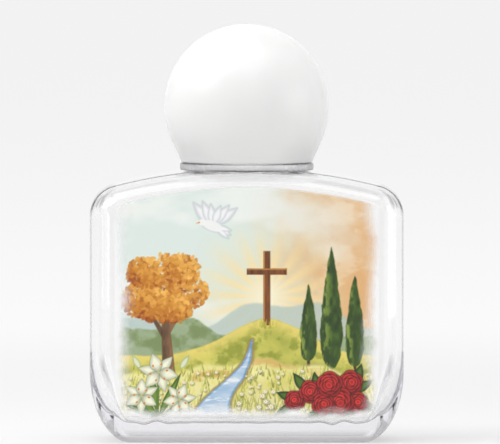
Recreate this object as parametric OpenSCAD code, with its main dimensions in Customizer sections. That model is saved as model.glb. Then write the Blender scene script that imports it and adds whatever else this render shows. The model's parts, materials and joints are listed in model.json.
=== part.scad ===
/* [Flask] */
// Width of the flask across its sides
flask_width = 55; // [48:0.5:66]
// Depth of the flask from front panel to back panel
flask_depth = 24; // [22:0.5:32]
// Height of the crown of the shoulders above the foot
crown_height = 47.8; // [38:0.2:60]
// Radius of the domed shoulder line
crown_radius = 92; // [60:1:160]
// Radius of the two top corners
corner_radius = 5.5; // [4.8:0.1:9]
// Width of the elliptical bottom corners
foot_corner_width = 7.3; // [6:0.1:10]
// Height of the elliptical bottom corners
foot_corner_height = 12.2; // [9:0.1:16]
// Reach of the rolled edge over the panels at the sides
side_roll = 4.2; // [3:0.1:4.5]
// Reach of the rolled edge over the panels at the top
crown_roll = 2.8; // [2.2:0.1:3.6]
// Reach of the rolled edge under the foot
foot_roll = 1; // [0.6:0.1:1.8]
// Depth of the rolled edge behind the panels
roll_depth = 5; // [3:0.1:8]
// Thickness of the walls
wall = 1.2; // [0.8:0.1:1.6]
// Thickness of the base
base_thickness = 3.5; // [2.4:0.1:4.5]
// Height to which the floor inside curves up at the panels
floor_roll = 0.6; // [0.3:0.1:1.5]
// Depth of the hollow under the foot
foot_hollow = 0.6; // [0.3:0.1:1.2]
// Width of the standing rim round that hollow
foot_rim = 3.2; // [2.4:0.1:4.5]

/* [Neck] */
// Diameter of the neck under its thread
neck_diameter = 17.6; // [15.6:0.1:18.4]
// Diameter of the bore
bore_diameter = 14.8; // [12:0.1:15.2]
// Height of the neck above the support ring
neck_height = 9.4; // [7.5:0.1:12]
// Diameter of the support ring
ring_diameter = 23.4; // [21:0.1:26]
// Thickness of the support ring
ring_thickness = 1.05; // [0.7:0.05:1.6]
// Bevel of the edges of the support ring
ring_bevel = 0.2; // [0.1:0.05:0.3]
// Depth of the underside of the support ring below the top of the crown
ring_sink = 0.25; // [0:0.05:0.25]
// Radius of the fillet at the root of the neck
root_radius = 2.6; // [1.6:0.1:3]
// Rounding of the rim of the mouth
rim_rounding = 0.4; // [0.2:0.05:0.5]
// Depth of the screw thread, which the gap between neck and insert leaves room for
thread_depth = 1; // [0.7:0.05:1.2]

/* [Cap] */
// Diameter of the ball
ball_diameter = 28.9; // [27.6:0.1:34]
// Angle below the equator at which the skirt leaves the ball
skirt_angle = 22.5; // [18:0.1:26]
// Wall of the ball
ball_wall = 1.3; // [0.9:0.1:1.5]
// Wall of the skirt at its lower edge
skirt_wall = 0.75; // [0.6:0.05:1.2]
// Height of the socket in the skirt that grips the insert
socket_height = 3; // [2:0.1:4]
// Wall of the threaded insert
insert_wall = 0.8; // [0.6:0.05:1]
// Thickness of the roof of the insert
roof_thickness = 1.2; // [0.8:0.1:2]
// Bevel at the mouth of the insert
insert_bevel = 0.4; // [0.2:0.05:0.5]
// Number of ribs inside the ball
rib_count = 8; // [4:1:12]
// Thickness of each rib
rib_thickness = 1; // [0.7:0.1:1.5]
// Height of each rib above the roof of the insert
rib_stop = 3; // [1.5:0.1:5]
// How far each rib reaches in over the roof of the insert
rib_overlap = 3; // [1.5:0.1:5]
// Thickness of the sealing disc
seal_thickness = 1.2; // [0.8:0.1:2]

/* [Label] */
// Thickness of the printed film
film_thickness = 0.12; // [0.08:0.01:0.3]
// Margin between the film and the edge of the front panel
film_margin = 0.4; // [0.2:0.1:2]

/* [Clearances] */
// Between the support ring and the lower edge of the cap
cap_gap = 0.15; // [0.1:0.05:0.4]
// Between the crest of one thread and the root of the other
thread_clearance = 0.2; // [0.1:0.05:0.3]
// Between the insert and the socket that grips it
insert_fit = 0.05; // [0.02:0.01:0.1]
// Between the sealing disc and the wall of the insert
seal_clearance = 0.3; // [0.2:0.05:0.5]
// Between the top edge of the insert and the hollow of the ball
ball_clearance = 0.3; // [0.2:0.05:0.5]

/* [Hidden] */

$fn = 96;
crown_steps = 10;
corner_steps = 6;
foot_steps = 8;
roll_steps = 6;
hull_steps = 32;
overlap = 1;

ring_z = crown_height - ring_sink;
ring_top_z = ring_z + ring_thickness;
rim_z = ring_top_z + neck_height;
neck_radius = neck_diameter / 2;
bore_radius = bore_diameter / 2;

insert_bore = neck_radius + thread_depth + thread_clearance;
insert_radius = insert_bore + insert_wall;
socket_radius = insert_radius + insert_fit;
cap_base_radius = socket_radius + skirt_wall;
cap_base_z = ring_top_z + cap_gap;
ball_radius = ball_diameter / 2;
skirt_top_radius = ball_radius * cos(skirt_angle);
skirt_drop = (skirt_top_radius - cap_base_radius) / tan(skirt_angle);
skirt_top_z = cap_base_z + skirt_drop;
ball_z = skirt_top_z + ball_radius * sin(skirt_angle);
ball_cavity = ball_radius - ball_wall;
socket_top_z = cap_base_z + socket_height;
roof_z = rim_z + seal_thickness;
roof_top_z = roof_z + roof_thickness;

// An outline of the flask in the X-Z plane: half width, crown, crown radius, corner radius,
// width and height of the bottom corners, height of the floor
outer_form = [flask_width / 2, crown_height, crown_radius, corner_radius,
    foot_corner_width, foot_corner_height, 0];
cavity_form = [flask_width / 2 - wall, crown_height - wall, crown_radius - wall, corner_radius - wall,
    foot_corner_width - wall, foot_corner_height - base_thickness, base_thickness];

// Reach of rolled edges at the sides, at the crown and at the foot; the film ends above the base
outer_rolls = [side_roll, crown_roll, foot_roll];
cavity_rolls = [side_roll - wall, crown_roll - wall, floor_roll];
film_rolls = [side_roll, crown_roll, base_thickness];

// A point of the outline with its outward normal: [x, z, normal x, normal z]
function round_point(x, z, radius, angle) =
    [x + radius * cos(angle), z + radius * sin(angle), cos(angle), sin(angle)];

function oval_point(x, z, width, height, angle) =
    let (across = height * cos(angle), up = width * sin(angle), size = norm([across, up]))
    [x + width * cos(angle), z + height * sin(angle), across / size, up / size];

// Right half of an outline, from the middle of the crown down to the foot
function half_outline(form) =
    let (
        half_width = form[0],
        arc_z = form[1] - form[2],
        arc = form[2],
        corner = form[3],
        corner_x = half_width - corner,
        corner_z = arc_z + sqrt(pow(arc - corner, 2) - pow(corner_x, 2)),
        turn = atan2(corner_z - arc_z, corner_x),
        foot_x = half_width - form[4],
        foot_z = form[6] + form[5]
    )
    concat(
        [for (i = [0:crown_steps]) round_point(0, arc_z, arc, 90 - (90 - turn) * i / crown_steps)],
        [for (i = [1:corner_steps]) round_point(corner_x, corner_z, corner, turn * (1 - i / corner_steps))],
        [for (i = [0:foot_steps]) oval_point(foot_x, foot_z, form[4], form[5], -90 * i / foot_steps)]
    );

// The whole outline, clockwise as seen from the front
function outline(form) =
    let (half = half_outline(form), last = len(half) - 1)
    concat(half, [for (i = [last:-1:1]) [-half[i][0], half[i][1], -half[i][2], half[i][3]]]);

// Reach of a rolled edge at a point, which changes from the sides to the crown or the foot
function roll_at(point, rolls) =
    let (middle = point[3] > 0 ? rolls[1] : rolls[2])
    middle + (rolls[0] - middle) * pow(point[2], 2);

function inset_point(point, distance) =
    [point[0] - distance * point[2], point[1] - distance * point[3]];

// Sections of a flask from front to back: [share of the roll that is still ahead, y]
function sections(depth, roll) =
    concat(
        [for (i = [0:roll_steps]) let (a = 90 * i / roll_steps) [1 - sin(a), roll * (1 - cos(a)) - depth / 2]],
        [for (i = [roll_steps:-1:0]) let (a = 90 * i / roll_steps) [1 - sin(a), depth / 2 - roll * (1 - cos(a))]]
    );

// A solid lofted through the sections, with its front and back edges rolled over
module lofted_flask(form, depth, roll, rolls) {
    edge = outline(form);
    rows = sections(depth, roll);
    count = len(edge);
    last = len(rows) - 1;
    points = [
        for (row = rows)
        for (point = edge)
        let (flat = inset_point(point, row[0] * roll_at(point, rolls)))
        [flat[0], row[1], flat[1]]
    ];
    sides = [
        for (k = [0:last - 1])
        for (i = [0:count - 1])
        let (a = k * count + i, b = k * count + (i + 1) % count)
        each [[a, a + count, b + count], [a, b + count, b]]
    ];
    front = [for (i = [0:count - 1]) i];
    back = [for (i = [count - 1:-1:0]) last * count + i];
    polyhedron(points, concat(sides, [front, back]));
}

// Support ring with bevelled edges
module support_ring() {
    radius = ring_diameter / 2;
    translate([0, 0, ring_z])
        cylinder(r1 = radius - ring_bevel, r2 = radius, h = ring_bevel);
    translate([0, 0, ring_z + ring_bevel])
        cylinder(r = radius, h = ring_thickness - 2 * ring_bevel);
    translate([0, 0, ring_top_z - ring_bevel])
        cylinder(r1 = radius, r2 = radius - ring_bevel, h = ring_bevel);
}

// Neck, support ring and the fillet that runs out into the shoulders
module neck_outside() {
    translate([0, 0, ring_z - root_radius - overlap])
        cylinder(r = neck_radius, h = rim_z - rim_rounding - ring_z + root_radius + overlap);
    translate([0, 0, rim_z - rim_rounding])
        cylinder(r1 = neck_radius, r2 = neck_radius - rim_rounding, h = rim_rounding);
    support_ring();
    translate([0, 0, ring_z - root_radius])
        rotate_extrude()
            difference() {
                square([neck_radius + root_radius, root_radius + overlap / 2]);
                translate([neck_radius + root_radius, root_radius])
                    circle(r = root_radius);
                translate([neck_radius, root_radius])
                    square([root_radius + overlap, overlap]);
            }
}

// Shallow hollow under the foot
module foot_recess() {
    reach_x = flask_width / 2 - foot_corner_width - foot_rim;
    end_radius = flask_depth / 2 - roll_depth - foot_rim;
    hull()
        for (side = [-1, 1])
            translate([side * (reach_x - end_radius), 0, -overlap])
                cylinder(r1 = end_radius + overlap, r2 = end_radius - foot_hollow,
                    h = overlap + foot_hollow, $fn = hull_steps);
}

// Clear flask with its threaded neck finish, open at the mouth
module bottle() {
    color("#dfe6ee", 0.45)
        difference() {
            union() {
                lofted_flask(outer_form, flask_depth, roll_depth, outer_rolls);
                neck_outside();
            }
            lofted_flask(cavity_form, flask_depth - 2 * wall, roll_depth - wall, cavity_rolls);
            translate([0, 0, crown_height - wall - root_radius])
                cylinder(r = bore_radius, h = rim_z + overlap - crown_height + wall + root_radius);
            foot_recess();
        }
}

// Printed film on the front panel
module label() {
    film_edge = [
        for (point = outline(outer_form))
        inset_point(point, roll_at(point, film_rolls) + film_margin)
    ];
    color("#8fae86")
        translate([0, -flask_depth / 2, 0])
            rotate([90, 0, 0])
                linear_extrude(film_thickness)
                    polygon(film_edge);
}

// Foam disc that the cap presses on the rim of the mouth
module seal_disc() {
    color("#f2efe6")
        translate([0, 0, rim_z])
            cylinder(r = insert_bore - seal_clearance, h = seal_thickness);
}

// Room for the insert: all of the lower half of the ball, and its hollow above
module insert_room() {
    translate([0, 0, cap_base_z - overlap])
        cylinder(r = ball_radius, h = ball_z - cap_base_z + overlap);
    translate([0, 0, ball_z])
        sphere(r = ball_cavity - ball_clearance);
}

// Threaded inner closure pressed into the ball
module cap_insert() {
    color("#f6f6f4")
        difference() {
            intersection() {
                translate([0, 0, cap_base_z])
                    cylinder(r = insert_radius, h = roof_top_z - cap_base_z);
                insert_room();
            }
            translate([0, 0, cap_base_z - overlap])
                cylinder(r = insert_bore, h = roof_z - cap_base_z + overlap);
            translate([0, 0, cap_base_z])
                cylinder(r1 = insert_bore + insert_bevel, r2 = insert_bore, h = insert_bevel);
        }
}

// Ball with the skirt that leaves it at a tangent
module ball_outside() {
    intersection() {
        translate([0, 0, ball_z])
            sphere(r = ball_radius);
        translate([0, 0, skirt_top_z])
            cylinder(r = ball_radius + overlap, h = 2 * ball_radius);
    }
    translate([0, 0, cap_base_z])
        cylinder(r1 = cap_base_radius, r2 = skirt_top_radius, h = skirt_drop);
}

// Hollow of the ball above the socket that grips the insert
module ball_inside() {
    intersection() {
        translate([0, 0, ball_z])
            sphere(r = ball_cavity);
        translate([0, 0, socket_top_z])
            cylinder(r = ball_radius, h = 2 * ball_radius);
    }
    translate([0, 0, cap_base_z - overlap])
        cylinder(r = socket_radius, h = socket_height + 2 * overlap);
}

// Ribs that hold the insert upright and stop it at its roof
module ribs() {
    for (i = [0:rib_count - 1])
        rotate([0, 0, 360 * i / rib_count])
            translate([0, -rib_thickness / 2, 0]) {
                translate([socket_radius, 0, socket_top_z - overlap])
                    cube([ball_radius - socket_radius, rib_thickness, roof_top_z - socket_top_z + overlap]);
                translate([socket_radius - rib_overlap, 0, roof_top_z])
                    cube([ball_radius - socket_radius + rib_overlap, rib_thickness, rib_stop]);
            }
}

// White ball, hollow, with ribs inside
module cap_shell() {
    color("white")
        difference() {
            ball_outside();
            difference() {
                ball_inside();
                ribs();
            }
        }
}

bottle();
label();
seal_disc();
cap_insert();
cap_shell();
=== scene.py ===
"""Looks of a small clear flask with a printed front panel and a white ball screw cap.

Every size is in metres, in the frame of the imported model: +Z up, the front panel facing -Y.
"""
import json
import math

import bpy
import numpy as np
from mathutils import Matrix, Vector


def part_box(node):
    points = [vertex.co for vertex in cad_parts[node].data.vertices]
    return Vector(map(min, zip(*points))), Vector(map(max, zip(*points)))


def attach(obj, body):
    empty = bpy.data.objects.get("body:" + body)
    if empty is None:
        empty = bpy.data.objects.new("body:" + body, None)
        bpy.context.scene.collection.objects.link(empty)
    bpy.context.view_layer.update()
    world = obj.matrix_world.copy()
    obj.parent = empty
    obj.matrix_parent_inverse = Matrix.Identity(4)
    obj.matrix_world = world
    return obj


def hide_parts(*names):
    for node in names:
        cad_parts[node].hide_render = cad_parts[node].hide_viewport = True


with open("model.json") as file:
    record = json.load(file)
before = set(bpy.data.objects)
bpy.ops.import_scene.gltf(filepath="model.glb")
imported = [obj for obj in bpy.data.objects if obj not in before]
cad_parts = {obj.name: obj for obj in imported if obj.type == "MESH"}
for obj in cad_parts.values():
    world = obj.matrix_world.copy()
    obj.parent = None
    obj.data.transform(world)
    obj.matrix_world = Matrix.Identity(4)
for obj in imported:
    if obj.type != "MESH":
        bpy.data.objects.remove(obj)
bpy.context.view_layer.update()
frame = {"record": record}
SCENE = bpy.context.scene
MM = 0.001

# Sizes read from the frame
BOTTLE_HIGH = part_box("bottle")[1]
FILM_LOW, FILM_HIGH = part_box("label")
SEAL_LOW, SEAL_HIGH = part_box("seal_disc")
INSERT_LOW, INSERT_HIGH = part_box("cap_insert")
SHELL_LOW, SHELL_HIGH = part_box("cap_shell")
RIM_Z = BOTTLE_HIGH.z
LEAD = frame["record"]["behaviour"]["couplings"][0]["ratio"] * 2 * math.pi

# Walls of the flask
CROWN_Z = 47.8 * MM
WALL = 1.2 * MM
CROWN_WALL = 0.7 * MM
CROWN_BEND = 1.35
ROUND_BEND = 2

# Base of the flask, with its uneven floor inside and the hollow under it
BASE = 3.4 * MM
FLOOR_ROLL = 0.5 * MM
FLOOR_DEPTH = 0.5 * MM
WAVE_HEIGHT = 0.08 * MM
WAVE_LENGTH = 6 * MM
WAVES = ((5.1, 2.3, 0.7), (8.3, -3.1, 2.0), (2.7, 4.9, 0.0))
FOLD_PLACES = (-16.8 * MM, 15.9 * MM)
FOLD_REACH = 3.2 * MM
FOLD_LENGTH = 4.8 * MM
FOLD_HEIGHT = 0.36 * MM
FOOT_HOLLOW = 0.6 * MM
HOLLOW_REACH = 13.2 * MM
HOLLOW_RADIUS = 3.8 * MM
FOOT_TOUCH = 0.01 * MM

# Support ring, neck and mouth
RING_Z = 47.38 * MM
RING_TOP_Z = 48.6 * MM
RING_RADIUS = 11.7 * MM
RING_EDGE = 0.22 * MM
ROOT_Z = 47.3 * MM
ROOT_RADIUS = 9.0 * MM
ROOT_TOP_RADIUS = 8.9 * MM
ROOT_END = 0.15 * MM
SLOPE_STEP = 0.1 * MM
COLLAR_FILLET = 0.08 * MM
COLLAR_STEP = 0.1 * MM
NECK_RADIUS = 8.8 * MM
NECK_FOOT = 0.3 * MM
NECK_START = 0.2 * MM
NECK_END = 0.1 * MM
BORE_RADIUS = 7.4 * MM
BORE_ROOT = 0.5 * MM
RIM_ROUND = 0.4 * MM
THREAD_DEPTH = 1.0 * MM
THREAD_WIDTH = 1.5 * MM
THREAD_CREST = 0.42
THREAD_START_Z = RING_TOP_Z + 2.2 * MM
THREAD_TURNS = 1.6
THREAD_FADE = 0.09

# Cap and foam disc
BALL_RADIUS = 14.45 * MM
SKIRT_ANGLE = math.radians(22.5)
BALL_WALL = 1.3 * MM
LIP_SHARE = 0.8
POLE_ANGLE = 89
SOCKET_HEIGHT = 3 * MM
SOCKET_FIT = 0.05 * MM
SOCKET_EDGE = 0.02 * MM
INSERT_WALL = 0.8 * MM
INSERT_EDGE = 0.3 * MM
INSERT_LIP = 0.1 * MM
ROOF = 1.2 * MM
ROOF_EDGE = 0.05 * MM
SEAL_EDGE = 0.25 * MM

# Counts of the meshes
PANEL_COLUMNS = 64
ROLL_COLUMNS = 30
SIDE_COLUMNS = 16
ROUND_COLUMNS = 192
BODY_ROWS = 190
TRIAL_ROWS = 600
BEND_SHARE = 9 * MM
NECK_STEP = 0.12 * MM
FILLET_ROWS = 6
BORE_ROWS = 12
ARC_STEPS = 6
RIM_STEPS = 7
BALL_STEPS = 72
HOLLOW_STEPS = 40
SKIRT_SHARES = (0.75, 0.5, 0.25)
SOLVE_STEPS = 40
TINY = 1e-9

OUTER_FORM = {
    "half_width": BOTTLE_HIGH.x, "half_depth": BOTTLE_HIGH.y, "crown": CROWN_Z, "arc": 92 * MM,
    "corner": 5.5 * MM, "foot_width": 7.3 * MM, "foot_height": 12.2 * MM, "floor": 0.0,
    "roll_depth": 5 * MM, "side_roll": 4.2 * MM, "crown_roll": 2.8 * MM,
    "foot_roll": 1.3 * MM, "foot_depth": 1.6 * MM,
}
SHRUNK = (
    "half_width", "half_depth", "crown", "arc", "corner",
    "foot_width", "roll_depth", "side_roll", "crown_roll",
)
INNER_FORM = {name: size - WALL if name in SHRUNK else size for name, size in OUTER_FORM.items()}
INNER_FORM.update(
    floor=BASE, foot_roll=FLOOR_ROLL, foot_depth=FLOOR_DEPTH,
    crown=CROWN_Z - CROWN_WALL, crown_roll=OUTER_FORM["crown_roll"] - CROWN_WALL,
)

# Looks of the plastics and the foam: colours, roughness, spread of light and the scale and detail of grains
PLAIN = (1, 1, 1)
PLASTIC_IOR = 1.57
PLASTIC_TINT = (0.80, 0.79, 0.84)
PLASTIC_DENSITY = 30
LIGHT_PASSED = (0.93, 0.925, 0.94)
CLEAR_HAZE = (240, 3)
CLEAR_MATTE = (0.0, 0.03)
CLEAR_RIPPLE = (120, 2)
RIPPLE_BUMP = (0.05, 0.2 * MM)
RING_MATTE = 0.25
FOOT_EDGE = 0.9 * MM
FOOT_FADE = 0.6 * MM
FOOT_MATTE = 0.6
# Grey tint of the clear plastic at the foot: painted shade for the contact shadow under the flask, seen
# through the base
FOOT_PAINTED_SHADOW = (0.64, 0.635, 0.62)
BALL_GRAIN = (900, 2)
BALL_WHITES = ((0.875, 0.875, 0.87), (0.88, 0.88, 0.875))
BALL_MATTE = (0.25, 0.27)
BALL_SPREAD = 0.6 * MM
INNER_GRAIN = (700, 3)
INNER_WHITES = ((0.78, 0.78, 0.77), (0.84, 0.84, 0.83))
INNER_MATTE = (0.42, 0.55)
INNER_BUMP = (0.15, 0.05 * MM)
INNER_SPREAD = 4 * MM
FOAM_CELLS = 3500
FOAM_WHITES = ((0.8, 0.78, 0.72), (0.9, 0.88, 0.83))
FOAM_MATTE = 0.85
FOAM_BUMP = (0.5, 0.08 * MM)
GRAIN_SPAN = (0.3, 0.7)


# Shapes of the flask

def depth_in_outline(form, x, z):
    """How far X-Z points lie inside the flask's outline, how far its normal there points
    sideways, and whether it points down."""
    x = np.abs(x)
    arc_z = form["crown"] - form["arc"]
    corner_x = form["half_width"] - form["corner"]
    corner_z = arc_z + math.sqrt((form["arc"] - form["corner"]) ** 2 - corner_x ** 2)
    turn = math.atan2(corner_z - arc_z, corner_x)
    from_arc = np.hypot(x, z - arc_z)
    depths = np.stack([form["arc"] - from_arc, form["half_width"] - x, z - form["floor"]])
    sideways = np.stack([x / from_arc, np.ones_like(x), np.zeros_like(x)])
    nearest = depths.argmin(0)[None]
    depth = np.take_along_axis(depths, nearest, 0)[0]
    normal = np.take_along_axis(sideways, nearest, 0)[0]
    downward = nearest[0] == 2
    right, up = x - corner_x, z - corner_z
    reach = np.maximum(np.hypot(right, up), TINY)
    in_corner = (right > 0) & (up > 0) & (np.arctan2(up, right) < turn)
    depth = np.where(in_corner, form["corner"] - reach, depth)
    normal = np.where(in_corner, right / reach, normal)
    right = x - form["half_width"] + form["foot_width"]
    down = z - form["floor"] - form["foot_height"]
    ratio = np.maximum(np.hypot(right / form["foot_width"], down / form["foot_height"]), TINY)
    slope_x = right / form["foot_width"] ** 2 / ratio
    slope_z = down / form["foot_height"] ** 2 / ratio
    slope = np.maximum(np.hypot(slope_x, slope_z), TINY)
    in_foot = (right > 0) & (down < 0)
    depth = np.where(in_foot, (1 - ratio) / slope, depth)
    normal = np.where(in_foot, slope_x / slope, normal)
    return depth, normal, downward | in_foot


def roll_reach(form, normal, downward):
    """How far the rolled edge reaches over the panels."""
    middle = np.where(downward, form["foot_roll"], form["crown_roll"])
    return middle + (form["side_roll"] - middle) * normal ** 2


def inside_flask(form, points):
    """Positive inside a flask with rolled edges, negative outside."""
    depth, normal, downward = depth_in_outline(form, points[..., 0], points[..., 2])
    y = np.abs(points[..., 1])
    low_depth = form["foot_depth"] + (form["roll_depth"] - form["foot_depth"]) * normal ** 2
    depth_y = np.where(downward, low_depth, form["roll_depth"])
    along = np.clip((y - form["half_depth"] + depth_y) / depth_y, 0, 1)
    bend = np.where(downward, ROUND_BEND, CROWN_BEND + (ROUND_BEND - CROWN_BEND) * normal ** 2)
    rolled = (1 - (1 - along ** bend) ** (1 / bend)) * roll_reach(form, normal, downward)
    return np.minimum(depth - rolled, form["half_depth"] - y)


def longest(inside, reach):
    """The longest steps, up to a reach, that stay inside."""
    low, high = np.zeros_like(reach), reach
    for _ in range(SOLVE_STEPS):
        middle = (low + high) / 2
        within = inside(middle)
        low, high = np.where(within, middle, low), np.where(within, high, middle)
    return low


def solve(form, start, direction, reach):
    """Points where rays from inside a flask leave it."""
    def inside(step):
        return inside_flask(form, start + direction * step[..., None]) > 0

    step = longest(inside, np.full(direction.shape[:-1], reach))
    return start + direction * step[..., None]


def turned(radius, turns, z):
    """Points at a radius, a direction and a height."""
    return np.stack([radius * np.cos(turns), radius * np.sin(turns), z], -1)


def shoulder_points(form, radius, turns):
    """Points of the shoulders on a circle round the neck."""
    start = turned(radius, turns, np.full_like(turns, form["crown"] / 2))
    return solve(form, start, np.broadcast_to([0.0, 0.0, 1.0], start.shape), form["crown"])


def body_rows(form, edge, turns):
    """Rows from the middle of the floor up to an edge on the shoulders."""
    centre = np.array([0, 0, (form["crown"] + form["floor"]) / 2])
    to_edge = edge - centre
    top = np.arctan2(to_edge[:, 2], np.hypot(to_edge[:, 0], to_edge[:, 1]))

    def rows_at(rise):
        return solve(form, centre, turned(np.cos(rise), turns, np.sin(rise)), 2 * form["half_width"])

    trial = -math.pi / 2 + (top + math.pi / 2) * np.linspace(0, 1, TRIAL_ROWS)[:, None]
    step = np.diff(rows_at(trial), axis=0)
    length = np.linalg.norm(step, axis=-1)
    heading = step / np.maximum(length, TINY * MM)[..., None]
    bend = np.linalg.norm(np.diff(heading, axis=0, prepend=heading[:1]), axis=-1)
    travel = np.concatenate([np.zeros((1, len(turns))), np.cumsum(length + BEND_SHARE * bend, axis=0)])
    share = np.linspace(0, 1, BODY_ROWS + 1)[1:]
    rise = np.stack([np.interp(share * way[-1], way, angle) for way, angle in zip(travel.T, trial.T)], -1)
    rows = rows_at(rise)
    rows[-1] = edge
    return rows


def flask_turns():
    """Directions round the Z axis, close together where the edges roll over."""
    half_width, half_depth = OUTER_FORM["half_width"], OUTER_FORM["half_depth"]
    side, deep = OUTER_FORM["side_roll"], OUTER_FORM["roll_depth"]
    roll = np.linspace(0, math.pi / 2, ROLL_COLUMNS, endpoint=False)
    x = np.concatenate([
        np.full(SIDE_COLUMNS // 2, half_width),
        half_width - side + side * np.cos(roll),
        np.linspace(half_width - side, 0, PANEL_COLUMNS // 2, endpoint=False),
    ])
    y = np.concatenate([
        np.linspace(0, half_depth - deep, SIDE_COLUMNS // 2, endpoint=False),
        half_depth - deep + deep * np.sin(roll),
        np.full(PANEL_COLUMNS // 2, half_depth),
    ])
    quarter = np.arctan2(y, x)
    half = np.concatenate([quarter, [math.pi / 2], math.pi - quarter[:0:-1]])
    return np.concatenate([half, half + math.pi])


def smooth_step(low, high, value):
    t = np.clip((value - low) / (high - low), 0, 1)
    return t * t * (3 - 2 * t)


def revolved(profile, turns):
    """Rows of points from (radius, z) pairs turned about the Z axis."""
    return np.array([turned(radius, turns, np.full_like(turns, z)) for radius, z in profile])


def arc_profile(radius, z, size, first, last, steps=ARC_STEPS):
    """(radius, z) pairs along an arc, between two angles in degrees."""
    angles = np.radians(np.linspace(first, last, steps))
    return [(radius + size * math.cos(a), z + size * math.sin(a)) for a in angles]


def fillet_rows(edge, slope, radius, z, turns):
    """Rows from an edge on the shoulders into a wall of the neck."""
    rows = []
    out = np.hypot(edge[:, 0], edge[:, 1])
    for t in np.linspace(0, 1, FILLET_ROWS + 2)[1:-1]:
        h0, h1 = 2 * t ** 3 - 3 * t ** 2 + 1, t ** 3 - 2 * t ** 2 + t
        h2, h3 = 1 - h0, t ** 3 - t ** 2
        size = abs(out - radius)
        r = h0 * out + h1 * (radius - out) + h2 * radius
        height = h0 * edge[:, 2] + h1 * slope * (radius - out) + h2 * z + h3 * size
        rows.append(turned(r, turns, height))
    return np.array(rows)


def thread_height(turns, z, start_z):
    """Share of a right-handed thread's height at points of a cylinder."""
    height = np.zeros_like(z)
    for lap in range(-1, math.ceil(THREAD_TURNS) + 1):
        along = turns / (2 * math.pi) + lap
        off = np.abs(z - start_z - LEAD * along) / (THREAD_WIDTH / 2)
        crest = smooth_step(1.0, THREAD_CREST, off)
        start = smooth_step(0, THREAD_FADE, along)
        end = smooth_step(THREAD_TURNS, THREAD_TURNS - THREAD_FADE, along)
        height = np.maximum(height, crest * (start * end))
    return height


def threaded_rows(radius, low, high, turns, depth, start_z):
    """Rows of a cylinder that carries a thread of the given depth."""
    heights = np.linspace(low, high, round((high - low) / NECK_STEP))
    z = np.broadcast_to(heights[:, None], (len(heights), len(turns)))
    angle = np.broadcast_to(turns, z.shape)
    return turned(radius + depth * thread_height(angle, z, start_z), angle, z)


def grid_mesh(name, rows, first_pole, last_pole):
    """A mesh through rows that run right round, with a pole at either end."""
    rows = np.asarray(rows)
    count, columns = rows.shape[:2]
    points = rows.reshape(-1, 3).tolist()
    index = np.arange(count * columns).reshape(count, columns)
    following = np.roll(index, -1, 1)
    faces = []
    for k in range(count - 1):
        faces += np.stack([index[k], following[k], following[k + 1], index[k + 1]], -1).tolist()
    for pole, row, step in ((first_pole, 0, -1), (last_pole, count - 1, 1)):
        points.append(list(pole))
        centre = len(points) - 1
        faces += [[a, b, centre][::step] for a, b in zip(index[row].tolist(), following[row].tolist())]
    mesh = bpy.data.meshes.new(name)
    mesh.from_pydata(points, [], faces)
    mesh.update()
    mesh.shade_smooth()
    return mesh


# The pieces

def piece(name, mesh, body, slot, material, *nodes):
    """A piece of the object that rides on a body and stands for CAD nodes."""
    made = bpy.data.objects.new(name, mesh)
    SCENE.collection.objects.link(made)
    made.data.materials.append(material)
    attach(made, body)
    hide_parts(*nodes)


def floor_waves(points):
    """Rise of the uneven floor inside, which dies out up the walls."""
    x, y = points[..., 0] / WAVE_LENGTH, points[..., 1] / WAVE_LENGTH
    waves = sum(np.sin(across * x + deep * y + shift) for across, deep, shift in WAVES)
    rise = WAVE_HEIGHT / len(WAVES) * waves
    for place in FOLD_PLACES:
        along = points[..., 0] - place
        rise += FOLD_HEIGHT * np.sin(2 * math.pi * along / FOLD_LENGTH) * np.exp(-(along / FOLD_REACH) ** 2)
    return rise * np.exp(-((points[..., 2] - BASE) / WAVE_LENGTH * 2) ** 2)


def foot_rise(points):
    """Rise of the hollow under the foot."""
    off = np.hypot(np.maximum(np.abs(points[..., 0]) - HOLLOW_REACH, 0), points[..., 1])
    hollow = FOOT_HOLLOW * smooth_step(HOLLOW_RADIUS, HOLLOW_RADIUS - 2 * FOOT_HOLLOW, off)
    return np.where(points[..., 2] < FOOT_TOUCH, hollow, 0)


def collar_profile():
    """The support ring, from the root under it to the foot of the neck."""
    ring_out = RING_RADIUS - RING_EDGE
    profile = [(ROOT_TOP_RADIUS, RING_Z - COLLAR_FILLET), (ROOT_TOP_RADIUS + COLLAR_STEP, RING_Z)]
    profile += arc_profile(ring_out, RING_Z + RING_EDGE, RING_EDGE, -90, 0)
    profile += arc_profile(ring_out, RING_TOP_Z - RING_EDGE, RING_EDGE, 0, 90)
    profile += [(NECK_RADIUS + NECK_FOOT, RING_TOP_Z)]
    profile += [(NECK_RADIUS + COLLAR_FILLET, RING_TOP_Z + COLLAR_FILLET)]
    return profile


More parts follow.
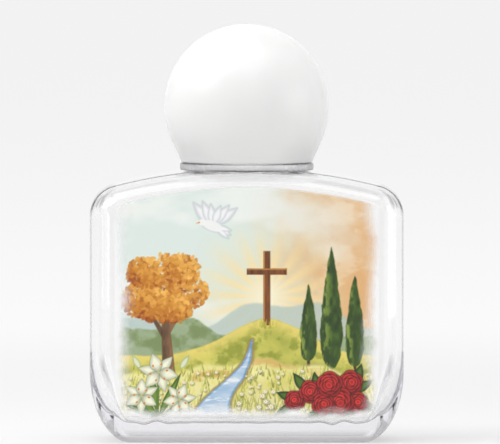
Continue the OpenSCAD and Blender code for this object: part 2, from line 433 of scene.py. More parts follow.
def make_bottle(turns):
    """The flask with its base, support ring, threaded neck and mouth, as one skin."""
    edge = shoulder_points(OUTER_FORM, ROOT_RADIUS, turns)
    beside = shoulder_points(OUTER_FORM, ROOT_RADIUS + SLOPE_STEP, turns)
    slope = (beside[:, 2] - edge[:, 2]) / SLOPE_STEP
    outside = body_rows(OUTER_FORM, edge, turns)
    outside[..., 2] += foot_rise(outside)
    rim_low = RIM_Z - RIM_ROUND
    neck = threaded_rows(
        NECK_RADIUS, RING_TOP_Z + NECK_START, rim_low - NECK_END, turns, THREAD_DEPTH, THREAD_START_Z)
    rim = arc_profile(NECK_RADIUS - RIM_ROUND, rim_low, RIM_ROUND, 0, 90, RIM_STEPS)
    rim += arc_profile(BORE_RADIUS + RIM_ROUND, rim_low, RIM_ROUND, 90, 180, RIM_STEPS)
    bore_foot = INNER_FORM["crown"] + BORE_ROOT
    bore = [(BORE_RADIUS, z) for z in np.linspace(rim_low, bore_foot, BORE_ROWS)[1:]]
    inner_edge = shoulder_points(INNER_FORM, BORE_RADIUS + BORE_ROOT, turns)
    inside = body_rows(INNER_FORM, inner_edge, turns)[::-1]
    inside[..., 2] += floor_waves(inside)
    rows = np.concatenate([
        outside,
        fillet_rows(edge, slope, ROOT_TOP_RADIUS, RING_Z - ROOT_END, turns),
        revolved(collar_profile(), turns),
        neck,
        revolved(rim, turns),
        revolved(bore, turns),
        fillet_rows(inner_edge, 0, BORE_RADIUS, bore_foot, turns)[::-1],
        inside,
    ])
    return grid_mesh("bottle_clear", rows, (0, 0, FOOT_HOLLOW), (0, 0, BASE))


def make_ball(turns):
    """The ball with its skirt, rolled lower edge and hollow inside."""
    base_z = SHELL_LOW.z
    socket = INSERT_HIGH.x + SOCKET_FIT
    top_z = SHELL_HIGH.z
    ball_z = top_z - BALL_RADIUS
    skirt_z = ball_z - BALL_RADIUS * math.sin(SKIRT_ANGLE)
    skirt_r = BALL_RADIUS * math.cos(SKIRT_ANGLE)
    base_r = skirt_r - (skirt_z - base_z) * math.tan(SKIRT_ANGLE)
    lip = (base_r - socket) / 2 * LIP_SHARE
    lip_z = base_z + lip
    hollow = BALL_RADIUS - BALL_WALL
    socket_top = base_z + SOCKET_HEIGHT
    inner_low = -math.degrees(math.asin((ball_z - socket_top) / hollow))
    profile = arc_profile(0, ball_z, BALL_RADIUS, POLE_ANGLE, -math.degrees(SKIRT_ANGLE), BALL_STEPS)
    profile += [(base_r + (skirt_r - base_r) * t, lip_z + (skirt_z - lip_z) * t) for t in SKIRT_SHARES]
    profile += arc_profile(base_r - lip, lip_z, lip, 0, -90)
    profile += arc_profile(socket + lip, lip_z, lip, -90, -180)
    profile += [(socket, socket_top - SOCKET_EDGE), (socket, socket_top)]
    profile += arc_profile(0, ball_z, hollow, inner_low, POLE_ANGLE, HOLLOW_STEPS)
    return grid_mesh("ball", revolved(profile, turns)[::-1], (0, 0, ball_z + hollow), (0, 0, top_z))


def disc_profile(radius, low, high, edge):
    """A disc from the middle of its top to the rounded edge below."""
    profile = [(edge, high)]
    profile += arc_profile(radius - edge, high - edge, edge, 90, 0)
    profile += arc_profile(radius - edge, low + edge, edge, 0, -90)
    return profile


def make_insert(turns):
    """The inner closure with the thread that runs between the turns of the neck's thread."""
    bore = INSERT_HIGH.x - INSERT_WALL
    low, high = INSERT_LOW.z, INSERT_HIGH.z
    roof = high - ROOF
    profile = disc_profile(INSERT_HIGH.x, low, high, INSERT_EDGE)
    profile += [(bore + INSERT_EDGE, low), (bore + INSERT_LIP, low + INSERT_EDGE)]
    inside = threaded_rows(
        bore, low + 2 * INSERT_EDGE, roof - INSERT_EDGE, turns, -THREAD_DEPTH, THREAD_START_Z + LEAD / 2)
    ceiling = [(bore, roof - ROOF_EDGE), (bore - INSERT_LIP, roof), (INSERT_EDGE, roof)]
    rows = np.concatenate([revolved(profile, turns), inside, revolved(ceiling, turns)])
    return grid_mesh("insert", rows[::-1], (0, 0, roof), (0, 0, high))


def make_seal(turns):
    """The foam disc with soft edges."""
    low, high = SEAL_LOW.z, SEAL_HIGH.z
    profile = disc_profile(SEAL_HIGH.x, low, high, SEAL_EDGE)
    profile += [(NECK_RADIUS, low), (BORE_RADIUS, low), (SEAL_EDGE, low)]
    return grid_mesh("seal", revolved(profile, turns)[::-1], (0, 0, low), (0, 0, high))


# Materials

class Graph:
    """The nodes of a material or a world. A value is a number, a colour or the output of a node."""

    FIRST_COLOUR, SECOND_COLOUR, MIXED_COLOUR = 6, 7, 2

    def __init__(self, tree):
        self.nodes, self.links = tree.nodes, tree.links

    def put(self, socket, value):
        """Give an input its value."""
        if isinstance(value, bpy.types.NodeSocket):
            self.links.new(value, socket)
        else:
            socket.default_value = (*value, 1) if socket.type == "RGBA" else value

    def add(self, kind, *values, **settings):
        """A node with its settings, and its first inputs filled in their order."""
        node = self.nodes.new("ShaderNode" + kind)
        for name, setting in settings.items():
            setattr(node, name, setting)
        for socket, value in zip(node.inputs, values):
            self.put(socket, value)
        return node

    def fill(self, node, values):
        """A node with inputs filled by name."""
        for name, value in values.items():
            self.put(node.inputs[name], value)
        return node

    def calc(self, operation, *values):
        return self.add("Math", *values, operation=operation).outputs["Value"]

    def ranged(self, value, low, high, to_low=0, to_high=1, form="SMOOTHSTEP"):
        """A value brought from one range into another."""
        node = self.add("MapRange", value, low, high, to_low, to_high, interpolation_type=form)
        return node.outputs["Result"]

    def mixed(self, share, first, second, blend="MIX"):
        """A colour mixed from two."""
        node = self.add("Mix", share, data_type="RGBA", blend_type=blend)
        self.put(node.inputs[self.FIRST_COLOUR], first)
        self.put(node.inputs[self.SECOND_COLOUR], second)
        return node.outputs[self.MIXED_COLOUR]

    def choice(self, share, first, second):
        """A shader mixed from two."""
        return self.add("MixShader", share, first.outputs[0], second.outputs[0])

    def rays(self, *kinds):
        """One for rays of the named kinds and nought for others."""
        path = self.add("LightPath")
        found = path.outputs[kinds[0]]
        for kind in kinds[1:]:
            found = self.calc("MAXIMUM", found, path.outputs[kind])
        return found

    def place(self, space="Object"):
        return self.add("TexCoord").outputs[space]

    def axis(self, name, space="Object"):
        """One coordinate of a point."""
        return self.add("SeparateXYZ", self.place(space)).outputs[name]

    def length(self, vector):
        return self.add("VectorMath", vector, operation="LENGTH").outputs["Value"]

    def height_band(self, low, high, soft):
        """One between two heights of the piece and nought beyond them."""
        z = self.axis("Z")
        above = self.ranged(z, low - soft, low, form="LINEAR")
        below = self.ranged(z, high + soft, high, form="LINEAR")
        return self.calc("MULTIPLY", above, below)

    def near_axis(self, radius, soft):
        """One within a radius round the piece's Z axis and nought beyond it."""
        flat = self.add("VectorMath", self.place(), (1, 1, 0), operation="MULTIPLY")
        return self.ranged(self.length(flat.outputs["Vector"]), radius + soft, radius, form="LINEAR")

    def noise(self, scale, detail):
        """A noise in the piece's own coordinates."""
        texture = self.add("TexNoise")
        self.fill(texture, {"Vector": self.place(), "Scale": scale, "Detail": detail})
        return texture.outputs["Fac"]

    def bump(self, value, strength, distance):
        node = self.add("Bump")
        self.fill(node, {"Height": value, "Strength": strength, "Distance": distance})
        return node.outputs["Normal"]


def new_material(name):
    material = bpy.data.materials.new(name)
    material.use_nodes = True
    graph = Graph(material.node_tree)
    return material, graph, graph.nodes["Principled BSDF"]


def translucent(spread):
    """Light that spreads inside a thin pale wall and comes out behind it."""
    return {"Subsurface Weight": 1, "Subsurface Radius": PLAIN, "Subsurface Scale": spread}


def clear_plastic():
    """Clear plastic that is a little dull at the support ring, and dull at the foot, where a grey tint is
    painted shade for the contact shadow seen through the base.
    """
    material, graph, shader = new_material("clear_plastic")
    ring_height = graph.height_band(ROOT_Z, RING_TOP_Z, RING_EDGE)
    ring = graph.calc("MULTIPLY", ring_height, graph.near_axis(RING_RADIUS, RING_EDGE))
    foot = graph.height_band(-FOOT_EDGE, FOOT_EDGE, FOOT_FADE)
    matte = graph.ranged(graph.noise(*CLEAR_HAZE), *GRAIN_SPAN, *CLEAR_MATTE)
    matte = graph.calc("MULTIPLY_ADD", ring, RING_MATTE, matte)
    matte = graph.calc("MULTIPLY_ADD", foot, FOOT_MATTE, matte)
    graph.fill(shader, {
        "IOR": PLASTIC_IOR,
        "Transmission Weight": 1,
        # Painted shade: the foot band is greyed to stand for the contact shadow seen through it
        "Base Color": graph.mixed(foot, PLAIN, FOOT_PAINTED_SHADOW),
        "Roughness": matte,
        "Normal": graph.bump(graph.noise(*CLEAR_RIPPLE), *RIPPLE_BUMP),
    })
    passed = graph.add("BsdfTransparent", LIGHT_PASSED)
    surface = graph.choice(graph.rays("Is Shadow Ray"), shader, passed)
    volume = graph.add("VolumeAbsorption", PLASTIC_TINT, PLASTIC_DENSITY)
    graph.fill(graph.nodes["Material Output"], {"Surface": surface.outputs[0], "Volume": volume.outputs[0]})
    return material


def white_plastic():
    material, graph, shader = new_material("white_plastic")
    grain = graph.noise(*BALL_GRAIN)
    graph.fill(shader, {
        "Base Color": graph.mixed(grain, *BALL_WHITES),
        "Roughness": graph.ranged(grain, *GRAIN_SPAN, *BALL_MATTE),
        **translucent(BALL_SPREAD),
    })
    return material


def inner_plastic():
    material, graph, shader = new_material("inner_plastic")
    grain = graph.noise(*INNER_GRAIN)
    graph.fill(shader, {
        "Base Color": graph.mixed(grain, *INNER_WHITES),
        "Roughness": graph.ranged(grain, *GRAIN_SPAN, *INNER_MATTE),
        "Normal": graph.bump(grain, *INNER_BUMP),
        **translucent(INNER_SPREAD),
    })
    return material


def foam():
    material, graph, shader = new_material("foam")
    cells = graph.fill(graph.add("TexVoronoi"), {"Vector": graph.place(), "Scale": FOAM_CELLS})
    far = cells.outputs["Distance"]
    graph.fill(shader, {
        "Base Color": graph.mixed(far, *FOAM_WHITES),
        "Roughness": FOAM_MATTE,
        "Normal": graph.bump(far, *FOAM_BUMP),
        **translucent(INNER_SPREAD),
    })
    return material


# The printed film: its sheet, and the edges and strength of its ink

FILM_STEP = 0.11 * MM
FILM_MARGIN = 0.15 * MM
FILM_LIFT = 0.015 * MM
FILM_INSET = 0.02 * MM
FILM_FORM = dict(OUTER_FORM, foot_roll=BASE)
FILM_SPECK = (5200, 2)
SPECK_GREYS = ((0.25, 0.25, 0.25), (0.75, 0.75, 0.75))
SPECK_SHARE = 0.3
SPECK_BUMP = (0.06, 0.03 * MM)
FILM_HAZE = (900, 3)
FILM_MATTE = (0.3, 0.42)
PRINT_HALF = 23.4
PRINT_SIDES = 3.6
PRINT_FOOT = (4.4, 6.6)
LOOSE_HEIGHTS = (38, 30)
BRUSH_REACH = 2.4
VIVID = 1.18
PRINT_SEED = 7
GRID = 96
GRID_SHIFT = 40

# Places in the print, in millimetres from the middle of the foot, with sizes and angles
FAR_RIDGE = (22.5, ((2.1, 0.17, 0.4), (0.8, 0.43, 2.0)))
NEAR_RIDGE = (19.2, ((1.9, 0.14, 3.4), (0.7, 0.5, 0.3)))
MEADOW_RIDGE = (13.2, ((1.2, 0.15, 1.2), (0.5, 0.6, 0.0)))
HILL_FOOT = 15.2
HILL_HEIGHT = 6.6
HILL_REACH = 9.5
MEADOW_FOOT = 3.6
MEADOW_HEIGHT = 9.4
SPRING_Z = 18.2
SPRING_FALL = 14
CROSS_X, CROSS_Z = 3.5, 21.6
CROSS_FOOT = CROSS_Z - 1.0
CROSS_TOP = CROSS_Z + 12.0
CROSS_ARM_Z = CROSS_Z + 8.4
CROSS_ARM = 3.5
POST_HALF = 0.62
BEAM_HALF = 0.55
GLOW_Z = CROSS_Z + 4
DOVE = (-6.0, 38.0)
DOVE_BODY = ((1.9, 0.85), -0.35)
FEATHERS = (
    (-0.2, 0.2, 5.2, 0.95, 2.25), (-0.1, 0.2, 4.6, 0.9, 1.95), (0.0, 0.2, 3.8, 0.8, 1.65),
    (0.4, 0.3, 5.0, 0.9, 0.62), (0.3, 0.3, 4.4, 0.85, 0.9), (0.2, 0.3, 3.6, 0.8, 1.2),
    (0.8, -0.3, 2.9, 0.55, -0.5), (0.8, -0.3, 2.9, 0.55, -0.75), (0.8, -0.2, 2.7, 0.5, -0.25),
)
TRUNK_X = -14.2
TRUNK = ((-13.6, 11.8), (TRUNK_X, 21), 1.15, 0.7)
BRANCHES = (((-14.0, 18), (-17.6, 24)), ((-14.1, 19), (-10.4, 25)), ((-14.2, 20), (-14.4, 27)))
LEAF_CLUMPS = (
    ((-18.2, 25.0), 3.8), ((-14.4, 29.2), 4.8), ((-10.4, 26.4), 3.7), ((-15.8, 24.0), 3.6),
    ((-12.4, 23.6), 3.0), ((-17.6, 29.8), 3.4), ((-11.4, 30.4), 3.2),
)
CYPRESSES = (((10.8, 14.4), 13.5, 1.45), ((18.9, 13.4), 16.0, 1.6), ((14.8, 13.0), 21.5, 1.9))
ROSES = (
    ((18.2, 10.6), 1.9, 0.4), ((8.4, 7.4), 1.6, 2.2), ((19.4, 7.0), 1.7, 1.4), ((11.2, 9.0), 1.8, 3.3),
    ((16.3, 7.2), 2.2, 5.0), ((13.4, 6.7), 1.8, 0.9), ((14.5, 10.3), 2.0, 4.1),
)
ROSE_PETALS = ((0.62, 0.5, 5), (0.42, 0.44, 5), (0.24, 0.36, 4), (0.10, 0.26, 3))
ROSE_LEAVES = (
    ((16.0, 9.0), 1.1), ((18.5, 9.0), 0.5), ((19.0, 7.0), -0.3), ((9.0, 7.5), 2.8),
    ((10.5, 9.0), 2.2), ((8.6, 6.6), -2.7), ((12.5, 8.5), 1.75), ((12.5, 6.0), -2.2),
    ((17.0, 6.0), -0.9), ((15.0, 6.0), -1.5), ((19.0, 10.0), 1.3),
)
ROSE_LEAF = (4.2, 0.95)
LILIES = (((-18.4, 8.2), 3.3, 0.5), ((-11.8, 7.6), 3.1, 0.15), ((-15.4, 12.4), 3.7, 0.85))
LILY_LEAVES = (
    ((-15.6, 4.6), 7.5, 0.75, 2.3), ((-15.4, 4.6), 9.0, 0.7, 1.1), ((-15.6, 4.4), 6.5, 0.7, 2.75),
    ((-15.2, 4.4), 6.8, 0.7, 0.5), ((-15.5, 5.0), 8.6, 0.7, 1.75),
)
LILY_BUDS = (((-18.6, 13.0), 2.1), ((-11.6, 13.0), 1.0))
LILY_BUD = (3.0, 0.6)
BLADE_COUNT = 900
TUFT_COUNT = 26
LEAF_COUNT = 75
LEAF_LAYERS = 3
LEAF_SIZE = (0.46, 0.28)
DAISY_COUNT = 150
DAISY_PETALS = 7

# Inks of the print, one colour each or a dark and a light one
SKY = (0.90, 0.94, 0.92)
WARM_SKY = (0.88, 0.69, 0.48)
WARM_SHADE = (0.82, 0.60, 0.39)
WARM_CLOUD = (0.97, 0.90, 0.80)
PALE_CLOUD = (0.975, 0.985, 0.97)
GLOW = (0.99, 0.90, 0.68)
GLOW_MIDDLE = (1.0, 0.97, 0.87)
FAR_GREEN = (0.74, 0.80, 0.78)
NEAR_GREEN = (0.62, 0.68, 0.54)
NEAR_SHADE = (0.46, 0.53, 0.34)
HILL_GREENS = ((0.62, 0.64, 0.30), (0.94, 0.90, 0.52))
HILL_SHADE = (0.53, 0.56, 0.22)
HILL_LIGHT = (0.93, 0.86, 0.52)
MEADOW_GREENS = ((0.83, 0.80, 0.46), (1.00, 0.98, 0.78))
EARTH = (0.80, 0.58, 0.33)
FRONT_LIGHT = (0.99, 0.96, 0.88)
BLADE_GREENS = ((0.48, 0.52, 0.20), (0.94, 0.90, 0.52))
TUFT_GREENS = ((0.60, 0.60, 0.26), (0.90, 0.85, 0.46))
BANK = (0.60, 0.52, 0.32)
WATER_BLUES = ((0.58, 0.72, 0.84), (0.96, 0.97, 0.99))
WATER_LIGHT = (0.97, 0.98, 0.99)
WATER_EDGE = (0.28, 0.48, 0.70)
WOODS = ((0.28, 0.16, 0.07), (0.58, 0.36, 0.19))
WOOD_LIGHT = (0.80, 0.60, 0.34)
TREE_SHADE = (0.42, 0.44, 0.20)
CYPRESS_STEM = (0.26, 0.17, 0.09)
CYPRESS_GREENS = ((0.10, 0.17, 0.05), (0.32, 0.43, 0.17))
CYPRESS_LIGHT = (0.60, 0.66, 0.34)
BARK = (1.0, 0.76, 0.54)
BARK_LIGHT = (0.66, 0.50, 0.36)
DOVE_SHADE = (0.66, 0.73, 0.76)
DOVE_WHITE = (0.985, 0.985, 0.98)
DOVE_HEAD = (0.99, 0.99, 0.985)
FEATHER_TINT = (0.0, 0.005, 0.01)
BEAK = (0.85, 0.60, 0.30)
ROSE_SHADE = (0.20, 0.12, 0.06)
ROSE_GAP = (0.22, 0.02, 0.03)
ROSE_REDS = ((0.28, 0.02, 0.04), (0.82, 0.26, 0.24))
ROSE_GREENS = ((0.13, 0.22, 0.07), (0.36, 0.48, 0.18))
LILY_SHADE = (0.42, 0.50, 0.30)
LILY_WHITE = (1.0, 1.0, 0.97 * 0.94)
LILY_THREAD = (0.80, 0.82, 0.55)
LILY_POLLEN = (0.82, 0.46, 0.10)
LILY_STEM = (0.36, 0.47, 0.20)
LILY_GREENS = ((0.22, 0.34, 0.12), (0.52, 0.62, 0.28))
BUD_GREENS = ((0.70, 0.76, 0.56), (0.96, 0.96, 0.88))
DAISY_SHADE = (0.40, 0.42, 0.18)
DAISY_WHITE = (0.99, 0.985, 0.96)
DAISY_EYE = (0.95, 0.76, 0.24)


def cloud(x, z, size, seed, octaves=4):
    """Fractal noise from 0 to 1 whose largest patches have the given size."""
    values = np.random.default_rng(PRINT_SEED + seed).random((octaves, GRID, GRID))
    total = np.zeros_like(x)
    for k in range(octaves):
        u, v = x / size * 2 ** k + GRID_SHIFT, z / size * 2 ** k + GRID_SHIFT
        column, row = np.floor(u).astype(int), np.floor(v).astype(int)
        along, up = smooth_step(0, 1, u - column), smooth_step(0, 1, v - row)
        column, row = column % GRID, row % GRID
        right, above = (column + 1) % GRID, (row + 1) % GRID
        low = values[k, row, column] * (1 - along) + values[k, row, right] * along
        high = values[k, above, column] * (1 - along) + values[k, above, right] * along
        total += (low * (1 - up) + high * up) / 2 ** k
    return total / (2 - 2 / 2 ** octaves)


def edge_mask(depth, soft):
    return smooth_step(-soft, soft, depth)


def between(tone, dark, light):
    """Colours between two, by a tone or a field of tones from 0 to 1."""
    return np.asarray(dark) + np.multiply.outer(tone, np.subtract(light, dark))


def offset(place, right, up):
    return place[0] + right, place[1] + up


def around_spot(place, radius, angle):
    return offset(place, radius * math.cos(angle), radius * math.sin(angle))


class Picture:
    """A picture painted on points of the panel, in millimetres from the middle of the foot."""

    def __init__(self, x, z):
        self.x, self.z = x, z
        self.colour = np.ones((*x.shape, 3))

    def lay(self, mask, colour):
        """Lay a colour, or a field of colours, over what is there."""
        self.colour += (np.asarray(colour) - self.colour) * np.clip(mask, 0, 1)[..., None]

    def shape(self, inside, soft, colour, share=1.0):
        """Lay a colour inside a shape with a soft edge."""
        self.lay(share * edge_mask(inside, soft), colour)

    def part(self, place, reach):
        """What is near a place, to be painted by itself, and where it belongs."""
        near = (np.abs(self.x - place[0]) < reach) & (np.abs(self.z - place[1]) < reach)
        part = Picture(self.x[near], self.z[near])
        part.colour = self.colour[near]
        return part, near

    def local(self, place, angle):
        """Coordinates from a place, along a direction and across it."""
        right, up = self.x - place[0], self.z - place[1]
        along = right * math.cos(angle) + up * math.sin(angle)
        return along, up * math.cos(angle) - right * math.sin(angle)

    def oval(self, place, size, angle=0.0):
        """About how far points lie inside an oval, negative outside it."""
        along, across = self.local(place, angle)
        return (1 - np.hypot(along / size[0], across / size[1])) * min(size)

    def stroke(self, start, end, first, last):
        """How far points lie inside a stroke whose half width runs from first to last."""
        way = np.subtract(end, start)
        share = ((self.x - start[0]) * way[0] + (self.z - start[1]) * way[1]) / (way @ way)
        share = np.clip(share, 0, 1)
        off = np.hypot(self.x - start[0] - share * way[0], self.z - start[1] - share * way[1])
        return first + (last - first) * share - off

    def petal(self, root, length, width, angle):
        """How far points lie inside a pointed petal, and the share of its length reached."""
        along, across = self.local(root, angle)
        along = along / length
        beyond = np.maximum(np.maximum(along - 1, -along), 0) * length
        half = width * np.sin(math.pi * np.clip(along, 0, 1) ** 0.8)
        return half - np.hypot(across, 4 * beyond) - 0.05, along


def paint_sky(art):
    """A pale sky that turns warm on one side, with clouds and a glow behind the hill."""
    x, z = art.x, art.z
    drift = cloud(x, z, 16, 1) - 0.5
    art.lay(np.ones_like(x), SKY)
    warm = smooth_step(0, 20, x + 10 * drift)
    art.lay(0.9 * warm, WARM_SKY)
    art.lay(0.7 * warm * smooth_step(0.42, 0.68, cloud(x, z, 6, 16)), WARM_SHADE)
    art.lay(0.6 * warm * smooth_step(0.5, 0.72, cloud(x, z * 1.4, 4, 17)), WARM_CLOUD)
    light = smooth_step(0.5, 0.76, cloud(x, z * 2.2, 15, 2))
    art.lay((0.85 - 0.5 * warm) * light, PALE_CLOUD)
    far = np.hypot(x - CROSS_X, (z - GLOW_Z) * 1.1)
    turn = np.arctan2(z - GLOW_Z, x - CROSS_X)
    rays = 0.72 + 0.28 * np.sin(18 * turn + 5 * cloud(np.cos(turn) * 6, np.sin(turn) * 6, 3, 3))
    art.lay(0.9 * rays * smooth_step(17, 2, far), GLOW)
    art.lay(smooth_step(6, 0, far), GLOW_MIDDLE)


def ridge(x, base, waves):
    """Height of a line of hills, from its base height and (height, pace, shift) waves."""
    return base + sum(size * np.sin(pace * x + shift) for size, pace, shift in waves)


def paint_hills(art):
    """Two far ridges in haze and the green hill in front of them."""
    x, z = art.x, art.z
    rough = cloud(x, z, 5, 4) - 0.5
    far = ridge(x, *FAR_RIDGE) + 1.2 * rough - z
    art.shape(far, 0.3, FAR_GREEN, 0.8)
    near = ridge(x, *NEAR_RIDGE) + 1.8 * rough - z
    art.shape(near, 0.25, NEAR_GREEN, 0.9)
    art.shape(near, 0.25, NEAR_SHADE, 0.75 * smooth_step(0.45, 0.75, cloud(x, z, 2.2, 5)))
    hill = HILL_FOOT + HILL_HEIGHT * np.exp(-((x - CROSS_X) / HILL_REACH) ** 2) + 0.8 * rough - z
    art.shape(hill, 0.2, between(cloud(x + z, z - 0.4 * x, 4, 6), *HILL_GREENS))
    art.shape(hill, 0.2, HILL_SHADE, 0.7 * smooth_step(0.5, 0.72, cloud(x, z, 1.4, 7)))
    art.shape(hill, 0.2, HILL_LIGHT, 0.8 * smooth_step(3.2, 0.2, hill))


def paint_meadow(art):
    """Sunlit grass and earth in front, with blades that stand up."""
    x, z = art.x, art.z
    here = edge_mask(ridge(x, *MEADOW_RIDGE) - z, 0.5)
    art.lay(here, between(cloud(x, z * 1.7, 7, 8, 5), *MEADOW_GREENS))
    art.lay(0.5 * here * smooth_step(0.5, 0.72, cloud(x, z * 2.5, 6, 9)), EARTH)
    art.lay(0.65 * here * smooth_step(11, 5, z), FRONT_LIGHT)
    chance = np.random.default_rng(PRINT_SEED + 1)
    for _ in range(BLADE_COUNT):
        foot = (chance.uniform(-23, 23), MEADOW_FOOT + MEADOW_HEIGHT * chance.random())
        long = (0.8 + 1.4 * chance.random()) * (1.3 - 0.05 * foot[1])
        tip = offset(foot, long * chance.uniform(-0.4, 0.4), long)
        part, near = art.part(foot, 2.6)
        part.shape(part.stroke(foot, tip, 0.13, 0.03), 0.06, between(chance.random(), *BLADE_GREENS), 0.8)
        art.colour[near] = part.colour


def stream_depth(x, z):
    """How far points lie inside the spring, which widens to the front."""
    down = np.clip((SPRING_Z - z) / SPRING_FALL, 0, 1)
    middle = CROSS_X - 2.5 - 5.5 * down + 2.6 * np.sin(5.2 * down ** 0.8 + 0.4) * down
    return 0.1 + 3.3 * down ** 1.4 - np.abs(x - middle) - 1.5 * np.maximum(z - SPRING_Z, 0)


def paint_stream(art):
    """The spring with its banks, ripples and light."""
    x, z = art.x, art.z
    inside = stream_depth(x, z) + 0.5 * (cloud(x, z, 1.6, 12) - 0.5)
    art.shape(inside + 0.45, 0.3, BANK, 0.85)
    art.shape(inside, 0.18, between(cloud(x * 0.7, z * 3.2, 2.6, 13), *WATER_BLUES))
    art.shape(inside, 0.18, WATER_LIGHT, 0.9 * smooth_step(0.56, 0.7, cloud(x, z * 4.2, 2.0, 14)))
    art.shape(inside, 0.18, WATER_EDGE, 0.7 * smooth_step(0.5, 0.0, inside))


def paint_cross(art):
    """A plain wooden cross on the hill, with grass at its foot."""
    x, z = art.x - CROSS_X, art.z
    wood = between(cloud(art.x * 5, z * 0.8, 2.4, 15), *WOODS)
    post = np.minimum(POST_HALF - np.abs(x), np.minimum(z - CROSS_FOOT, CROSS_TOP - z))
    beam = np.minimum(BEAM_HALF - np.abs(z - CROSS_ARM_Z), CROSS_ARM - np.abs(x))
    for inside, from_light in ((post, x + 0.34), (beam, CROSS_ARM_Z + 0.3 - z)):
        art.shape(inside, 0.07, wood)
        art.shape(inside, 0.07, WOOD_LIGHT, 0.75 * smooth_step(0.1, -0.1, from_light))
    chance = np.random.default_rng(PRINT_SEED + 3)
    for _ in range(TUFT_COUNT):
        root = (CROSS_X + chance.uniform(-1.6, 1.6), CROSS_FOOT - chance.uniform(0.1, 0.5))
        tip = offset(root, chance.uniform(-0.3, 0.3), chance.uniform(0.6, 1.3))
        colour = between(chance.random(), *TUFT_GREENS)
        art.shape(art.stroke(root, tip, 0.16, 0.03), 0.06, colour, 0.9)


def paint_cypress(art, place, height, width, seed):
    """A tall dark tree, lit from the left."""
    x, z = art.x, art.z
    share = np.clip((z - place[1]) / height, 0, 1)
    ragged = cloud(x * 1.5, z, 1.5, 20 + seed) - 0.5
    half = width * np.sin(math.pi * share ** 0.55) ** 0.8 + 0.55 * ragged
    inside = np.minimum(half - np.abs(x - place[0]), np.minimum(z - place[1], place[1] + height - z))
    shade = art.oval(offset(place, 0.9, -1.0), (1.5 * width, 0.5))
    art.shape(shade, 0.35, TREE_SHADE, 0.6)
    art.shape(art.stroke(offset(place, 0, -1.2), place, 0.3, 0.25), 0.1, CYPRESS_STEM)
    leaf = cloud(x * 2.2, z * 0.9, 1.3, 30 + seed)
    art.shape(inside, 0.12, between(leaf, *CYPRESS_GREENS))
    lit = smooth_step(0.25 * width, -0.8 * width, x - place[0]) * smooth_step(0.42, 0.66, leaf)
    art.shape(inside, 0.12, CYPRESS_LIGHT, 0.85 * lit)


def paint_autumn_tree(art):
    """A spreading tree in orange and brown leaf, lit from the upper right."""
    trunk = art.stroke(*TRUNK)
    for start, end in BRANCHES:
        trunk = np.maximum(trunk, art.stroke(start, end, 0.55, 0.2))
    bark = 0.24 + 0.26 * cloud(art.x * 4, art.z, 1.6, 40)
    art.shape(trunk, 0.12, np.multiply.outer(bark, BARK))
    art.shape(trunk, 0.12, BARK_LIGHT, 0.5 * smooth_step(TRUNK_X, TRUNK_X + 1, art.x))
    chance = np.random.default_rng(PRINT_SEED + 2)
    for layer in range(LEAF_LAYERS):
        for place, size in LEAF_CLUMPS:
            for _ in range(LEAF_COUNT):
                turn, out = chance.uniform(0, 2 * math.pi), size * math.sqrt(chance.random())
                spot = offset(place, out * math.cos(turn), 0.82 * out * math.sin(turn))
                lit = (spot[1] - place[1] + 0.6 * (spot[0] - place[0])) / size
                tone = 0.16 + 0.24 * layer + 0.26 * lit + chance.uniform(-0.16, 0.16)
                tone = min(max(tone, 0), 1)
                colour = (0.55 + 0.43 * tone, 0.25 + 0.54 * tone, 0.07 + 0.40 * tone ** 1.5)
                part, near = art.part(spot, 1.1)
                part.shape(part.oval(spot, LEAF_SIZE, chance.uniform(0, math.pi)), 0.09, colour, 0.85)
                art.colour[near] = part.colour


def paint_dove(art):
    """A small white bird in flight."""
    feathers = [
        (art.petal(offset(DOVE, right, up), length, width, angle)[0], width)
        for right, up, length, width, angle in FEATHERS
    ]
    body = art.oval(DOVE, *DOVE_BODY)
    outline = np.maximum.reduce([body] + [inside for inside, _ in feathers])
    art.shape(outline + 0.12, 0.28, DOVE_SHADE, 0.5)
    for inside, width in feathers:
        shade = 0.84 + 0.15 * np.clip(inside / width * 1.6, 0, 1)
        art.shape(inside, 0.08, shade[..., None] + FEATHER_TINT)
    art.shape(body, 0.1, DOVE_WHITE)
    art.shape(art.oval(offset(DOVE, -1.75, 0.62), (0.66, 0.58)), 0.08, DOVE_HEAD)
    beak = art.stroke(offset(DOVE, -2.3, 0.6), offset(DOVE, -2.85, 0.45), 0.14, 0.03)
    art.shape(beak, 0.05, BEAK)


def paint_leaf(art, root, length, width, angle, dark, light):
    """A pointed leaf or bud with a lighter middle."""
    inside, along = art.petal(root, length, width, angle)
    art.shape(inside, 0.07, dark)
    art.shape(inside, 0.07, light, 0.8 * smooth_step(0.0, 0.5, inside / width - 0.2 * along))


def paint_rose(art, place, size, turn):
    """A dark red rose whose petals overlap from the outside in."""
    part, near = art.part(place, 1.5 * size)
    part.shape(part.oval(place, (1.12 * size, 1.12 * size)), 0.25, ROSE_SHADE, 0.5)
    for layer, (out, petal, count) in enumerate(ROSE_PETALS):
        for k in range(count):
            angle = turn + 0.7 * layer + 2 * math.pi * k / count
            middle = around_spot(place, out * size, angle)
            inside = part.oval(middle, (petal * size, 1.18 * petal * size), angle)
            lip = smooth_step(0.32 * size, 0.02 * size, inside)
            lit = 0.5 + 0.5 * math.cos(angle - 2.2)
            light = np.clip(0.12 + 0.10 * layer + (0.42 + 0.3 * lit) * lip, 0, 1)
            part.shape(inside + 0.12, 0.1, ROSE_GAP, 0.7)
            part.shape(inside, 0.06, between(light, *ROSE_REDS))
    art.colour[near] = part.colour


def paint_roses(art):
    """A spray of roses with dark leaves."""
    for root, angle in ROSE_LEAVES:
        paint_leaf(art, root, *ROSE_LEAF, angle, *ROSE_GREENS)
    for place, size, turn in ROSES:
        paint_rose(art, place, size, turn)


